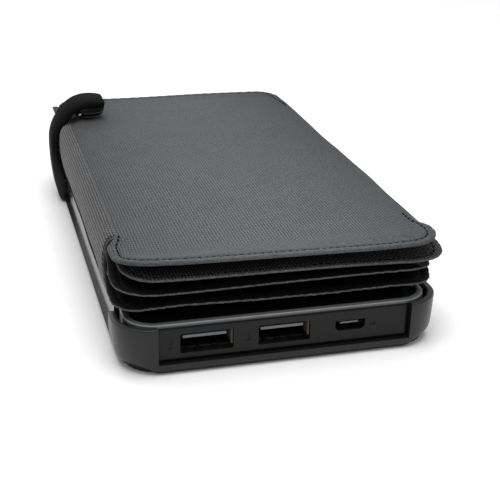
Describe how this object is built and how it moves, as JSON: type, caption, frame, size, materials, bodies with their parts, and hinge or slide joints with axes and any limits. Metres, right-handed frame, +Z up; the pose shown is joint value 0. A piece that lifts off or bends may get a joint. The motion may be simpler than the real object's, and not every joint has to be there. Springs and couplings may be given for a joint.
{
  "type": "folding solar charger",
  "caption": "Pocket power bank with fabric-covered solar leaves folded on its top, a side flap, and a strap that closes them with a press stud.",
  "frame": {"origin": "centre of the case's flat underside, on the surface it lies on", "axes": "+Z up, +Y along the length away from the USB ports, +X to the right seen from the ports"},
  "size_m": [0.0866, 0.154, 0.0343],
  "materials": {
    "black_plastic": "satin moulded black plastic with a fine spark texture",
    "gloss_black": "polished black plastic",
    "weave": "dark grey twill-woven polyester with ribs along the length",
    "lining": "smooth black coated fabric",
    "solar": "dark blue-black solar cells under a clear laminate",
    "strap": "black synthetic leather, lightly grained",
    "steel": "nickel-plated steel",
    "board": "green solder mask",
    "cell": "silver pouch foil",
    "tongue": "light grey insulating plastic",
    "light_pipe": "milky clear plastic"
  },
  "bodies": {
    "case": {"bumper_frame": "black_plastic", "case_body": "black_plastic", "case_bottom": "black_plastic", "case_screw_1": "steel", "case_screw_2": "steel", "case_screw_3": "steel", "case_screw_4": "steel", "bezel_ring": "gloss_black", "fixing_pad": "lining", "circuit_board": "board", "usb_shell_1": "steel", "usb_shell_2": "steel", "usb_tongue_1": "tongue", "usb_tongue_2": "tongue", "micro_usb_shell": "steel", "micro_usb_tongue": "tongue", "battery_cell_1": "cell", "battery_cell_2": "cell", "button_switch": "steel", "light_pipe_1": "light_pipe", "light_pipe_2": "light_pipe", "light_pipe_3": "light_pipe", "light_pipe_4": "light_pipe", "leaf_4_back": "weave", "leaf_4_frame": "lining", "leaf_4_panel": "solar", "fold_web_1": "weave", "strap_root": "strap", "strap_screw": "steel"},
    "leaf_3": {"leaf_3_back": "weave", "leaf_3_frame": "lining", "leaf_3_panel": "solar", "fold_web_2": "weave"},
    "leaf_2": {"leaf_2_back": "weave", "leaf_2_frame": "lining", "leaf_2_panel": "solar", "fold_web_3": "weave"},
    "leaf_1": {"leaf_1_back": "weave", "leaf_1_frame": "lining", "leaf_1_panel": "solar", "snap_stud": "steel"},
    "flap": {"side_flap": "weave"},
    "strap": {"strap_band": "strap"},
    "strap_tip": {"strap_tip": "strap", "snap_socket": "steel"},
    "button": {"power_button": "gloss_black"}
  },
  "joints": [
    {"name": "unfold", "type": "hinge", "parent": "case", "child": "leaf_3", "pos_m": [0.0423, 0, 0.01593], "axis": [0, 1, 0], "range_deg": [0, 178], "deforming": ["fold_web_1"]},
    {"name": "fold_2", "type": "hinge", "parent": "leaf_3", "child": "leaf_2", "pos_m": [-0.0408, 0, 0.01957], "axis": [0, 1, 0], "range_deg": [-178, 0], "deforming": ["fold_web_2"]},
    {"name": "fold_3", "type": "hinge", "parent": "leaf_2", "child": "leaf_1", "pos_m": [0.0423, 0, 0.02332], "axis": [0, 1, 0], "range_deg": [0, 178], "deforming": ["fold_web_3"]},
    {"name": "flap_swing", "type": "hinge", "parent": "leaf_1", "child": "flap", "pos_m": [-0.0403, 0, 0.0265], "axis": [0, 1, 0], "range_deg": [0, 95]},
    {"name": "strap_hinge", "type": "hinge", "parent": "case", "child": "strap", "pos_m": [-0.0424, 0, 0.00615], "axis": [0, 1, 0], "range_deg": [-80, 0]},
    {"name": "strap_bend", "type": "hinge", "parent": "strap", "child": "strap_tip", "pos_m": [-0.04325, 0, 0.0285], "axis": [0, 1, 0], "range_deg": [-110, 0]},
    {"name": "power_press", "type": "slide", "parent": "case", "child": "button", "axis": [-1, 0, 0], "range_m": [0, 0.0005], "stiffness_N_per_m": 400}
  ],
  "couplings": [
    {"joint": "fold_2", "follows": "unfold", "ratio": -1},
    {"joint": "fold_3", "follows": "unfold", "ratio": 1},
    {"joint": "flap_swing", "follows": "unfold", "ratio": 0.5},
    {"joint": "strap_bend", "follows": "strap_hinge", "ratio": 1}
  ]
}
